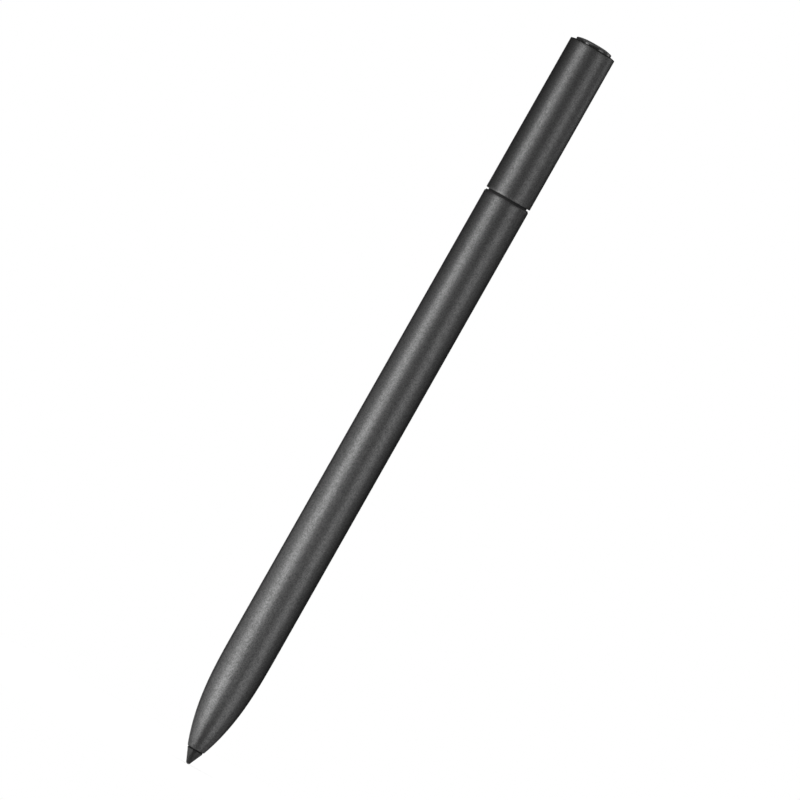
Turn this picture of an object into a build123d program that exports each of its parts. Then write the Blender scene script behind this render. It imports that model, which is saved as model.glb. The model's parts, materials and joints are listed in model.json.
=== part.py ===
from build123d import *

import os
from math import asin, atan2, cos, hypot, sin, sqrt

# A stylus pen, in millimetres. The origin is the nib's point and +Z runs along the axis to the end button.
# The side keys face +Y and the charging socket, under the cap, faces -Y.
# The board, the cell and the cap's travel set the lengths, and the shells around them follow.

# Whole pen
body_radius = 4.75
overrun = 2.0
seat_gap = 0.02

# Nib: a round-tipped cone on a thin shaft
nib_tip_radius = 0.5
nib_step = 0.12
nib_cone_height = 2.95
nib_edge_chamfer = 0.06
nib_shaft_radius = 0.75
nib_shaft_chamfer = 0.2
nib_grip_length = 5.8
nib_gap = 0.25

# Barrel: one tube with a long rounded nose
nose_mouth_radius = 1.7
nose_length = 18.3
nose_edge_chamfer = 0.1
nose_bore_steps = 3
barrel_wall = 0.72
barrel_edge_chamfer = 0.2
mouth_gap = 0.3
mouth_lip = 0.35

# Nib guide and tilt electrode, both in the nose
guide_setback = 0.15
guide_length = 5.6
guide_gap = 0.05
guide_steps = 1
nose_gap = 0.1
electrode_length = 3.4
electrode_wall = 0.35
electrode_gap = 0.25

# Nib holder: a slit collet with a flange
holder_wall = 0.5
holder_setback = 0.8
holder_length = 6.6
holder_flange_width = 0.65
holder_flange_thickness = 0.9
holder_slit_width = 0.3
holder_slit_length = 4.0
holder_gap = 0.05
holder_floor_gap = 0.1

# Pressure pad, pressure sensor and their housing
pad_inset = 0.3
pad_thickness = 1.0
pad_chamfer = 0.2
sensor_ledge = 0.15
sensor_thickness = 1.2
sensor_chamfer = 0.15
flange_gap = 0.15
housing_steps = 2

# Ribbon cables
ribbon_thickness = 0.12
ribbon_inset = 0.05
ribbon_landing = 3.0
ribbon_bend = 0.8
ribbon_rise_length = 2.2
ribbon_gap = 0.1

# Chassis: a trough with frames across it
chassis_gap = 0.08
chassis_wall = 0.5
chassis_plug_length = 2.0
chassis_notch_gap = 0.3
frame_depth = 0.85
frame_thickness = 1.2
frame_place_shares = (0.1, 0.5, 0.9)

# Main board and what it carries
board_thickness = 0.8
board_gap = 0.1
board_end_gap = 0.2
board_corner_round = 0.4
board_item_gap = 1.0
radio_length = 7.0
radio_width = 4.6
radio_height = 0.9
radio_edge_round = 0.15
can_length = 5.0
can_width = 4.4
can_height = 1.1
can_wall = 0.2

# Side keys in their slot, and the snap domes under them
slot_length = 24.0
slot_width = 3.2
key_gap = 0.1
key_split = 0.3
key_rise = 0.2
key_flange = 0.5
key_flange_gap = 0.05
key_flange_thickness = 0.5
key_nub_radius = 0.6
key_nub_length = 0.6
key_setback = 2.0
dome_radius = 1.5
dome_crown_share = 0.45
dome_height = 0.3
dome_thickness = 0.08

# Battery, its leads and the foam behind it
lead_space = 3.5
lead_width = 0.9
lead_thickness = 0.2
lead_bend = 0.4
lead_landing = 1.5
lead_drop = 0.9
battery_length = 36.0
battery_gap = 0.05
battery_edge_chamfer = 0.4
lead_spread_share = 0.5
bumper_thickness = 1.5

# Stem: the plug in the barrel's end that the cap slides on
stem_gap = 0.03
stem_plug_length = 12.7
stem_wall = 0.8
stem_web = 1.6
stem_upper_wall = 1.15
stem_edge_chamfer = 0.2
stop_wall = 1.6

# Charging socket, its board and its sizes by the USB Type-C standard
port_length = 8.94
port_width = 3.26
port_shell_wall = 0.3
port_gap = 0.05
port_recess = 0.1
port_setback = 2.28
tongue_length = 6.69
tongue_thickness = 0.7
tongue_recess = 1.1
tongue_base_thickness = 0.8
charge_board_width = 2.6
charge_board_thickness = 0.4
charge_board_setback = 0.5
charge_board_gap = 0.08
switch_ribbon_width = 1.8
switch_ribbon_inset = 0.8

# Cap: a metal sleeve bonded round a sliding liner with a stop finger
cap_gap = 0.53
cap_travel = 14.0
cap_rim_width = 0.9
cap_rim_thickness = 0.82
cap_rim_chamfer = 0.3
cap_bottom_chamfer = 0.15
liner_setback = 0.4
liner_gap = 0.05
liner_wall = 0.25
finger_margin = 0.4
finger_length = 4.0
finger_slit = 0.3
stop_setback = 1.9
stop_height = 1.0
stop_width = 1.2
stop_depth = 0.5
stop_gap = 0.05
stop_side_gap = 0.1
seal_section = 0.5
seal_chamfer = 0.12
seal_setback = 1.1
seal_side_gap = 0.05

# End button, its return washer and its switch
button_hole_gap = 0.13
button_rise = 0.8
button_chamfer = 0.3
button_wall = 1.0
button_skirt = 0.52
button_flange_side_gap = 0.12
button_flange_thickness = 0.7
button_flange_gap = 0.04
plunger_radius = 0.8
plunger_length = 1.1
washer_height = 0.45
washer_band = 0.25
washer_reach = 0.88
switch_seat_wall = 0.75
switch_board_thickness = 0.5
switch_board_gap = 0.05

# Heights along the axis, from the nib's point up to the end of the barrel
mouth_z = nib_cone_height + nib_gap
nose_end_z = mouth_z + nose_length
guide_bottom_z = mouth_z + mouth_lip + guide_setback
guide_top_z = guide_bottom_z + guide_length
holder_bottom_z = guide_top_z + holder_setback
holder_flange_z = holder_bottom_z + holder_length
holder_top_z = holder_flange_z + holder_flange_thickness
pad_top_z = holder_top_z + pad_thickness
sensor_bottom_z = pad_top_z + seat_gap
sensor_top_z = sensor_bottom_z + sensor_thickness
chassis_bottom_z = sensor_top_z
board_bottom_z = chassis_bottom_z + chassis_plug_length + board_end_gap
radio_bottom_z = board_bottom_z + ribbon_landing + board_item_gap
slot_bottom_z = radio_bottom_z + radio_length + key_setback
slot_middle_z = slot_bottom_z + slot_length / 2
can_bottom_z = slot_bottom_z + slot_length + key_setback
board_top_z = can_bottom_z + can_length + board_item_gap + ribbon_landing
battery_bottom_z = board_top_z + lead_space
battery_top_z = battery_bottom_z + battery_length
stem_bottom_z = battery_top_z + bumper_thickness
barrel_end_z = stem_bottom_z + stem_plug_length

# Heights of the cap, the stem inside it and the end button
cap_bottom_z = barrel_end_z + cap_gap
seal_z = cap_bottom_z + seal_setback
port_middle_z = cap_bottom_z + port_setback + port_length / 2
port_top_z = port_middle_z + port_length / 2
stop_bottom_z = port_top_z + stop_setback
stop_top_z = stop_bottom_z + stop_height
track_bottom_z = stop_bottom_z - stop_gap
track_top_z = stop_top_z + cap_travel + stop_gap
stem_top_z = track_top_z + stop_wall
switch_board_bottom_z = stem_top_z - switch_board_thickness
plunger_bottom_z = stem_top_z + dome_height + seat_gap
flange_bottom_z = plunger_bottom_z + plunger_length
flange_top_z = flange_bottom_z + button_flange_thickness
rim_bottom_z = flange_top_z + button_flange_gap
cap_top_z = rim_bottom_z + cap_rim_thickness
button_top_z = cap_top_z + button_rise
liner_top_z = flange_bottom_z - washer_height

# Radii of the shells, from the outside in
barrel_bore = body_radius - barrel_wall
mouth_bore = nib_shaft_radius + mouth_gap
stem_radius = barrel_bore - stem_gap
liner_bore = stem_radius + liner_gap
liner_outer_radius = liner_bore + liner_wall
cap_bore = liner_outer_radius + seat_gap
button_hole_radius = body_radius - cap_rim_width
button_radius = button_hole_radius - button_hole_gap
switch_seat_radius = stem_radius - switch_seat_wall
nose_rise = body_radius - nose_mouth_radius
nose_arc_radius = (nose_length ** 2 + nose_rise ** 2) / (2 * nose_rise)

# Radii of the nib's pressed train, from the shaft out
nib_base_radius = nose_mouth_radius - nib_step
holder_radius = nib_shaft_radius + holder_wall
holder_flange_radius = holder_radius + holder_flange_width
flange_room_radius = holder_flange_radius + flange_gap
pad_radius = holder_flange_radius - pad_inset
sensor_radius = flange_room_radius + sensor_ledge

# Levels across the pen, along Y: from the keys down to the main board, and of the charge board in the stem
key_width = slot_width - 2 * key_gap
key_pair_length = slot_length - 2 * key_gap
key_flange_radius = barrel_bore - key_flange_gap
key_flange_edge_y = sqrt(key_flange_radius ** 2 - (key_width / 2 + key_flange) ** 2)
key_bottom_y = key_flange_edge_y - key_flange_thickness
nub_bottom_y = key_bottom_y - key_nub_length
board_top_y = nub_bottom_y - seat_gap - dome_height
board_bottom_y = board_top_y - board_thickness
board_width = 2 * sqrt((barrel_bore - board_gap) ** 2 - board_top_y ** 2)
ribbon_top_y = sqrt((stem_radius - stem_wall) ** 2 - (charge_board_width / 2) ** 2)
ribbon_width = charge_board_width - 2 * ribbon_inset
charge_board_top_y = ribbon_top_y - ribbon_thickness
charge_board_bottom_y = charge_board_top_y - charge_board_thickness
port_mouth_y = port_recess - sqrt(stem_radius ** 2 - (port_width / 2) ** 2)
track_floor_y = stem_radius - stop_depth

# Sketches on this plane are drawn as (height, across) and extruded along +Y
side_plane = Plane(origin=(0, 0, 0), x_dir=(0, 0, 1), z_dir=(0, 1, 0))


def nose_bore_radius(height):
    """Inside radius of the barrel: the nose's arc, set in by the wall, then the straight bore."""
    arc_radius = nose_arc_radius - barrel_wall
    below = max(nose_end_z - height, 0)
    return barrel_bore - arc_radius + sqrt(arc_radius ** 2 - below ** 2)


def nose_points(bottom, top, steps, gap):
    """Points, as (radius, height), in even steps along the inside of the nose, or a gap within it."""
    heights = [bottom + step * (top - bottom) / steps for step in range(steps + 1)]
    return [(nose_bore_radius(height) - gap, height) for height in heights]


chassis_radius = nose_bore_radius(chassis_bottom_z) - chassis_gap
trough_radius = chassis_radius - chassis_wall
battery_radius = (trough_radius - battery_gap + charge_board_top_y - ribbon_gap) / 2
battery_middle_y = battery_radius - trough_radius + battery_gap


def outline(*curves):
    """The face inside a closed run of curves."""
    return make_face([edge for curve in curves for edge in curve.edges()])


def polygon(*corners):
    """The face inside straight sides."""
    return make_face(Polyline(*corners, close=True))


def turned(face):
    """Turn a face, drawn as (radius, height), about the pen's axis."""
    return revolve(Plane.XZ * face, axis=Axis.Z)


def bevelled(face, corner, length):
    """Cut off the one corner of a face that lies at a point."""
    return chamfer(face.vertices().sort_by_distance(corner)[0], length)


def rod(radius, bottom, top):
    """A round bar on the pen's axis."""
    return Pos(0, 0, bottom) * extrude(Circle(radius), amount=top - bottom)


def tube(inner_radius, outer_radius, bottom, top):
    """A round tube on the pen's axis."""
    return Pos(0, 0, bottom) * extrude(Circle(outer_radius) - Circle(inner_radius), amount=top - bottom)


def slab(sketch, bottom_y, top_y):
    """A sketch on the side plane, made solid between two levels along Y."""
    return extrude(side_plane.offset(bottom_y) * sketch, amount=top_y - bottom_y)


def panel(bottom, top, width):
    """A rectangle on the side plane, between two heights."""
    return Pos((bottom + top) / 2, 0) * Rectangle(top - bottom, width)


def strip(width, thickness, bend, corners):
    """A flat strip bent along corners given as (level along Y, height)."""
    path = FilletPolyline(*corners, radius=bend)
    return extrude(Plane.YZ * trace(path, thickness), amount=width / 2, both=True)


def ribbon(width, *corners):
    """A flat cable bent along corners."""
    return strip(width, ribbon_thickness, ribbon_bend, corners)


def snap_dome():
    """A thin sprung dome with a flat crown, which stands on its rim, about its own Z axis."""
    crown = dome_crown_share * dome_radius
    rim = dome_radius - 2 * dome_thickness
    ceiling = dome_height - dome_thickness
    return turned(polygon(
        (0, dome_height),
        (crown, dome_height),
        (dome_radius, 0),
        (rim, 0),
        (crown, ceiling),
        (0, ceiling),
    ))


# Nib, its holder and the pad: what moves when the point is pressed
def nib():
    reach = hypot(nib_base_radius, nib_cone_height - nib_tip_radius)
    lean = atan2(nib_base_radius, nib_cone_height - nib_tip_radius) - asin(nib_tip_radius / reach)
    meet = (nib_tip_radius * cos(lean), nib_tip_radius * (1 - sin(lean)))
    base = (nib_base_radius, nib_cone_height)
    shaft_top = holder_bottom_z + nib_grip_length
    shaft_end = (nib_shaft_radius, shaft_top)
    tip = TangentArc((0, 0), meet, tangent=(1, 0))
    back = Polyline(meet, base, (nib_shaft_radius, nib_cone_height), shaft_end, (0, shaft_top), (0, 0))
    face = bevelled(outline(tip, back), base, nib_edge_chamfer)
    return turned(bevelled(face, shaft_end, nib_shaft_chamfer))


def nib_holder():
    bore = nib_shaft_radius + seat_gap
    bore_top = holder_bottom_z + nib_grip_length + holder_floor_gap
    collet = turned(polygon(
        (bore, holder_bottom_z),
        (holder_radius, holder_bottom_z),
        (holder_radius, holder_flange_z),
        (holder_flange_radius, holder_flange_z),
        (holder_flange_radius, holder_top_z),
        (0, holder_top_z),
        (0, bore_top),
        (bore, bore_top),
    ))
    slit_sketch = panel(holder_bottom_z - overrun, holder_bottom_z + holder_slit_length, holder_slit_width)
    slit = slab(slit_sketch, -holder_radius - overrun, holder_radius + overrun)
    return collet - slit - Rot(0, 0, 90) * slit


def pressure_pad():
    edge = (pad_radius, pad_top_z)
    face = polygon((0, holder_top_z), (pad_radius, holder_top_z), edge, (0, pad_top_z))
    return turned(bevelled(face, edge, pad_chamfer))


# Barrel and what stands in its nose
def barrel():
    lip_top = mouth_z + mouth_lip
    mouth_edge = (nose_mouth_radius, mouth_z)
    end_edge = (body_radius, barrel_end_z)
    nose = TangentArc((body_radius, nose_end_z), mouth_edge, tangent=(0, -1))
    inside = Polyline(
        mouth_edge,
        (mouth_bore, mouth_z),
        (mouth_bore, lip_top),
        *nose_points(lip_top, nose_end_z, nose_bore_steps, 0),
        (barrel_bore, barrel_end_z),
        end_edge,
        (body_radius, nose_end_z),
    )
    face = bevelled(outline(nose, inside), end_edge, barrel_edge_chamfer)
    face = bevelled(face, mouth_edge, nose_edge_chamfer)
    slot = slab(Pos(slot_middle_z, 0) * SlotOverall(slot_length, slot_width), 0, body_radius + overrun)
    return turned(face) - slot


def nib_guide():
    bore = nib_shaft_radius + guide_gap
    socket = nib_shaft_radius + electrode_gap + electrode_wall + seat_gap
    socket_floor = guide_top_z - electrode_length
    return turned(polygon(
        *nose_points(guide_bottom_z, guide_top_z, guide_steps, nose_gap),
        (socket, guide_top_z),
        (socket, socket_floor),
        (bore, socket_floor),
        (bore, guide_bottom_z),
    ))


def tilt_electrode():
    bore = nib_shaft_radius + electrode_gap
    return tube(bore, bore + electrode_wall, guide_top_z - electrode_length, guide_top_z)


def sensor_housing():
    guide_bore = holder_radius + holder_gap
    shoulder_z = holder_flange_z - seat_gap
    seat = sensor_radius + seat_gap
    return turned(polygon(
        *nose_points(guide_top_z, sensor_top_z, housing_steps, nose_gap),
        (seat, sensor_top_z),
        (seat, sensor_bottom_z),
        (flange_room_radius, sensor_bottom_z),
        (flange_room_radius, shoulder_z),
        (guide_bore, shoulder_z),
        (guide_bore, guide_top_z),
    ))


def pressure_sensor():
    edge = (sensor_radius, sensor_top_z)
    face = polygon((0, sensor_bottom_z), (sensor_radius, sensor_bottom_z), edge, (0, sensor_top_z))
    return turned(bevelled(face, edge, sensor_chamfer))


def sensor_flex():
    lying_z = sensor_top_z + ribbon_thickness / 2
    rising_y = board_top_y + ribbon_thickness / 2
    return ribbon(
        ribbon_width,
        (-sensor_radius / 2, lying_z),
        (rising_y, lying_z),
        (rising_y, board_bottom_z + ribbon_landing),
    )


# Chassis, main board and the side keys
def chassis():
    trough = tube(trough_radius, chassis_radius, chassis_bottom_z, stem_bottom_z)
    frame_heights = [board_bottom_z + share * (board_top_z - board_bottom_z) for share in frame_place_shares]
    frame_heights.append(battery_bottom_z - frame_thickness)
    for height in frame_heights:
        trough += tube(trough_radius - frame_depth, chassis_radius, height, height + frame_thickness)
    open_side = panel(chassis_bottom_z - overrun, stem_bottom_z + overrun, 2 * (chassis_radius + overrun))
    trough -= slab(open_side, board_bottom_y, chassis_radius + overrun)
    plug_top_z = chassis_bottom_z + chassis_plug_length
    plug = rod(chassis_radius, chassis_bottom_z, plug_top_z)
    notch = panel(chassis_bottom_z - overrun, plug_top_z + overrun, ribbon_width + 2 * chassis_notch_gap)
    plug -= slab(notch, -sensor_radius / 2 - chassis_notch_gap, chassis_radius + overrun)
    return trough + plug


def main_board():
    sketch = panel(board_bottom_z, board_top_z, board_width)
    return slab(fillet(sketch.vertices(), board_corner_round), board_bottom_y, board_top_y)


def radio_module():
    sketch = panel(radio_bottom_z, radio_bottom_z + radio_length, radio_width)
    block = slab(sketch, board_top_y, board_top_y + radio_height)
    return fillet(block.faces().sort_by(Axis.Y)[-1].edges(), radio_edge_round)


def shield_can():
    can_top_z = can_bottom_z + can_length
    outside = slab(panel(can_bottom_z, can_top_z, can_width), board_top_y, board_top_y + can_height)
    outside = fillet(outside.faces().sort_by(Axis.Y)[-1].edges(), can_wall)
    room = panel(can_bottom_z + can_wall, can_top_z - can_wall, can_width - 2 * can_wall)
    return outside - slab(room, board_top_y - overrun, board_top_y + can_height - can_wall)


def key_outline(end, spread):
    """One key's half of the slot, grown at its outer end and sides. The end is -1 towards the nib, else 1."""
    reach = key_pair_length / 2 + spread
    width = key_width + 2 * spread
    half = Pos(end * (reach + key_split / 2) / 2, 0) * Rectangle(reach - key_split / 2, width)
    return Pos(slot_middle_z, 0) * (SlotOverall(2 * reach, width) & half)


def key_middle_z(end):
    """Height of the middle of a key."""
    return slot_middle_z + end * (key_pair_length + key_split) / 4


def side_key(end):
    beyond_y = body_radius + overrun
    bottom, top = slot_bottom_z - overrun, slot_bottom_z + slot_length + overrun
    crown = slab(key_outline(end, 0), key_bottom_y, beyond_y) & rod(body_radius + key_rise, bottom, top)
    flange = slab(key_outline(end, key_flange), key_bottom_y, beyond_y) & rod(key_flange_radius, bottom, top)
    nub = slab(Pos(key_middle_z(end), 0) * Circle(key_nub_radius), nub_bottom_y, key_flange_edge_y)
    return crown + flange + nub


def key_dome(end):
    return Pos(0, board_top_y, key_middle_z(end)) * Rot(-90, 0, 0) * snap_dome()


# Battery
def battery_cell():
    can = Pos(0, battery_middle_y, 0) * rod(battery_radius, battery_bottom_z, battery_top_z)
    return chamfer(can.edges().filter_by(GeomType.CIRCLE), battery_edge_chamfer)


def battery_leads():
    lead_y = board_bottom_y - lead_drop
    joint_z = board_top_z - lead_landing
    corners = [(lead_y, battery_bottom_z), (lead_y, joint_z), (board_bottom_y, joint_z)]
    lead = strip(lead_width, lead_thickness, lead_bend, corners)
    spread = lead_spread_share * battery_radius
    return Compound(children=[Pos(side * spread, 0, 0) * lead for side in (-1, 1)])


def battery_bumper():
    return Pos(0, battery_middle_y, 0) * rod(battery_radius, battery_top_z, stem_bottom_z)


def link_flex():
    board_y = board_top_y + ribbon_thickness / 2
    raised_y = charge_board_top_y + ribbon_thickness / 2
    return ribbon(
        ribbon_width,
        (board_y, board_top_z - ribbon_landing),
        (board_y, board_top_z),
        (raised_y, board_top_z + ribbon_rise_length),
        (raised_y, stem_bottom_z + charge_board_setback + ribbon_landing),
    )


# Stem, charging socket and the end switch
def stem():
    body = rod(stem_radius, stem_bottom_z, stem_top_z)
    body = chamfer(body.edges().filter_by(GeomType.CIRCLE), stem_edge_chamfer)
    pocket_sketch = SlotOverall(port_length + 2 * port_gap, port_width + 2 * port_gap)
    pocket = slab(Pos(port_middle_z, 0) * pocket_sketch, -stem_radius - overrun, charge_board_bottom_y)
    bore_bottom_z = port_top_z + stem_web
    channel_sketch = panel(
        stem_bottom_z - overrun,
        bore_bottom_z + 2 * ribbon_rise_length,
        charge_board_width + 2 * charge_board_gap,
    )
    channel = slab(channel_sketch, charge_board_bottom_y, ribbon_top_y + charge_board_gap)
    bore = rod(stem_radius - stem_upper_wall, bore_bottom_z, stem_top_z + overrun)
    counterbore = rod(switch_seat_radius, switch_board_bottom_z, stem_top_z + overrun)
    groove_half = seal_section / 2 + seal_side_gap
    groove_floor = liner_bore - seal_section - 2 * seat_gap
    groove = tube(groove_floor, stem_radius + overrun, seal_z - groove_half, seal_z + groove_half)
    track_sketch = panel(track_bottom_z, track_top_z, stop_width + 2 * stop_side_gap)
    track = slab(track_sketch, track_floor_y, stem_radius + overrun)
    return body - pocket - channel - bore - counterbore - groove - track


def port_sketch(inset):
    """The socket's outline, drawn in by an inset."""
    return Pos(port_middle_z, 0) * SlotOverall(port_length - 2 * inset, port_width - 2 * inset)


def charge_port_shell():
    return slab(port_sketch(0) - port_sketch(port_shell_wall), port_mouth_y, charge_board_bottom_y)


def charge_port_tongue():
    base_y = charge_board_bottom_y - tongue_base_thickness
    base = slab(port_sketch(port_shell_wall + seat_gap), base_y, charge_board_bottom_y)
    blade = Pos(port_middle_z, 0) * Rectangle(tongue_length, tongue_thickness)
    return base + slab(blade, port_mouth_y + tongue_recess, charge_board_bottom_y)


def charge_board():
    sketch = panel(stem_bottom_z + charge_board_setback, port_top_z, charge_board_width)
    return slab(sketch, charge_board_bottom_y, charge_board_top_y)


def switch_flex():
    low_y = charge_board_top_y + ribbon_thickness / 2
    high_y = low_y - switch_ribbon_inset
    shift_z = port_top_z + stem_web
    return ribbon(
        switch_ribbon_width,
        (low_y, port_top_z - ribbon_landing),
        (low_y, shift_z),
        (high_y, shift_z + ribbon_rise_length),
        (high_y, switch_board_bottom_z),
    )


def cap_seal():
    outer = liner_bore - seat_gap
    inner = outer - seal_section
    bottom = seal_z - seal_section / 2
    top = seal_z + seal_section / 2
    low_edge = (outer, bottom)
    high_edge = (outer, top)
    face = polygon((inner, bottom), low_edge, high_edge, (inner, top))
    face = bevelled(face, low_edge, seal_chamfer)
    return turned(bevelled(face, high_edge, seal_chamfer))


def end_switch_board():
    return rod(switch_seat_radius - switch_board_gap, switch_board_bottom_z, stem_top_z)


def end_switch_dome():
    return Pos(0, 0, stem_top_z) * snap_dome()


# Cap and end button
def cap_sleeve():
    bottom_edge = (body_radius, cap_bottom_z)
    top_edge = (body_radius, cap_top_z)
    face = polygon(
        (cap_bore, cap_bottom_z),
        bottom_edge,
        top_edge,
        (button_hole_radius, cap_top_z),
        (button_hole_radius, rim_bottom_z),
        (cap_bore, rim_bottom_z),
    )
    face = bevelled(face, bottom_edge, cap_bottom_chamfer)
    return turned(bevelled(face, top_edge, cap_rim_chamfer))


def cap_liner():
    body = tube(liner_bore, liner_outer_radius, cap_bottom_z + liner_setback, liner_top_z)
    finger_width = stop_width + 2 * finger_margin
    finger_top_z = stop_top_z + finger_margin
    finger_bottom_z = finger_top_z - finger_length
    finger = panel(finger_bottom_z, finger_top_z, finger_width)
    around = panel(finger_bottom_z, finger_top_z + finger_slit, finger_width + 2 * finger_slit)
    body -= slab(around - finger, 0, liner_outer_radius + overrun)
    stop_y = track_floor_y + stop_side_gap
    stop = slab(panel(stop_bottom_z, stop_top_z, stop_width), stop_y, liner_outer_radius)
    wall_middle = rod((liner_bore + liner_outer_radius) / 2, stop_bottom_z - overrun, stop_top_z + overrun)
    return body + (stop & wall_middle)


def button_spring():
    foot = liner_outer_radius - seat_gap
    head = foot - washer_reach
    head_z = flange_bottom_z - seat_gap
    return turned(polygon(
        (foot, liner_top_z),
        (head + washer_band, head_z),
        (head, head_z),
        (foot - washer_band, liner_top_z),
    ))


def end_button():
    top_edge = (button_radius, button_top_z)
    ceiling_z = button_top_z - button_wall
    skirt_bore = button_radius - button_skirt
    flange = cap_bore - button_flange_side_gap
    face = polygon(
        (0, plunger_bottom_z),
        (plunger_radius, plunger_bottom_z),
        (plunger_radius, ceiling_z),
        (skirt_bore, ceiling_z),
        (skirt_bore, flange_bottom_z),
        (flange, flange_bottom_z),
        (flange, flange_top_z),
        (button_radius, flange_top_z),
        top_edge,
        (0, button_top_z),
    )
    return turned(bevelled(face, top_edge, button_chamfer))


nodes = {
    "nib": nib(),
    "nib_holder": nib_holder(),
    "pressure_pad": pressure_pad(),
    "barrel": barrel(),
    "nib_guide": nib_guide(),
    "tilt_electrode": tilt_electrode(),
    "sensor_housing": sensor_housing(),
    "pressure_sensor": pressure_sensor(),
    "sensor_flex": sensor_flex(),
    "chassis": chassis(),
    "main_board": main_board(),
    "radio_module": radio_module(),
    "shield_can": shield_can(),
    "front_key": side_key(-1),
    "rear_key": side_key(1),
    "front_key_dome": key_dome(-1),
    "rear_key_dome": key_dome(1),
    "battery_cell": battery_cell(),
    "battery_leads": battery_leads(),
    "battery_bumper": battery_bumper(),
    "link_flex": link_flex(),
    "stem": stem(),
    "charge_port_shell": charge_port_shell(),
    "charge_port_tongue": charge_port_tongue(),
    "charge_board": charge_board(),
    "switch_flex": switch_flex(),
    "cap_seal": cap_seal(),
    "end_switch_board": end_switch_board(),
    "end_switch_dome": end_switch_dome(),
    "cap_sleeve": cap_sleeve(),
    "cap_liner": cap_liner(),
    "button_spring": button_spring(),
    "end_button": end_button(),
}

os.makedirs("parts", exist_ok=True)
for name, solid in nodes.items():
    export_step(solid, f"parts/{name}.step")
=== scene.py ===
# %% [markdown]
# # A stylus pen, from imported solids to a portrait
# The pen is a slim stylus for a touch screen: a dark grey metal barrel with a bullet nose, a matt black
# nib, and a metal cap that slides up to bare a charging socket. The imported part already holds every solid
# in its place, in metres, with the nib's point at the origin and the axis along +Z. This lesson models the
# pieces that can be seen again, finer and inside the same box, and gives every piece a finish of its own.

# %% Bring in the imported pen
import json
from math import asin, atan2, cos, hypot, pi, radians, sin

import bmesh
import bpy
from mathutils import Matrix, Quaternion, Vector


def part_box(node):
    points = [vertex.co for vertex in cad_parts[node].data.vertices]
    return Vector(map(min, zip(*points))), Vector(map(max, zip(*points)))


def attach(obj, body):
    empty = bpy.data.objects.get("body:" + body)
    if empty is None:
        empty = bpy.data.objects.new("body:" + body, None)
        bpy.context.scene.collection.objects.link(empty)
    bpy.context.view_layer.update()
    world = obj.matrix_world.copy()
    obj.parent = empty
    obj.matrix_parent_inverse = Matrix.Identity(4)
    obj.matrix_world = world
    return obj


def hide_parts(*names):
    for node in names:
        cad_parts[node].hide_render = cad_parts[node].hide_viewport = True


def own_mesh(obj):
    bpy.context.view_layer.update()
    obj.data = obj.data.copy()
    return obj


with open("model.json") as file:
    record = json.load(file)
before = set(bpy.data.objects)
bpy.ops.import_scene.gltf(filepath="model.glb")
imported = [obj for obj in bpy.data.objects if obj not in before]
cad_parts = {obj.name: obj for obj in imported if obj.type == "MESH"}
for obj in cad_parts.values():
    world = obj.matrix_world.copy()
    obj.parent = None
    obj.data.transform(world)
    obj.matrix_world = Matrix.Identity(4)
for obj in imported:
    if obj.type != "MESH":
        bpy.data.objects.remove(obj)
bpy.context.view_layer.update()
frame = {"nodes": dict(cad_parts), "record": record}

# %% [markdown]
# ## Shader maths in plain Python
# A finish is a small network of nodes. Wiring each Math node by hand hides the idea, so a socket is wrapped
# in a class whose plus, minus, times and compare signs add the Math nodes, with a number on either side.
# Every other node comes from one method: its settings are set first, then its sockets get a value or a link.

# %% Wrap a socket, so that a finish reads as a formula
class Wire:
    """A number that comes out of a socket. Arithmetic on it adds Math nodes."""

    def __init__(self, finish, socket):
        self.finish = finish
        self.socket = socket

    def math(self, operation, first, second):
        return self.finish.node("ShaderNodeMath", {"operation": operation}, {0: first, 1: second})

    def __add__(self, other):
        return self.math("ADD", self, other)

    def __radd__(self, other):
        return self.math("ADD", other, self)

    def __sub__(self, other):
        return self.math("SUBTRACT", self, other)

    def __rsub__(self, other):
        return self.math("SUBTRACT", other, self)

    def __mul__(self, other):
        return self.math("MULTIPLY", self, other)

    def __rmul__(self, other):
        return self.math("MULTIPLY", other, self)

    def __gt__(self, other):
        return self.math("GREATER_THAN", self, other)

    def __lt__(self, other):
        return self.math("LESS_THAN", self, other)

    def __or__(self, other):
        return self.math("MAXIMUM", self, other)


print("wires ready")

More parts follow.
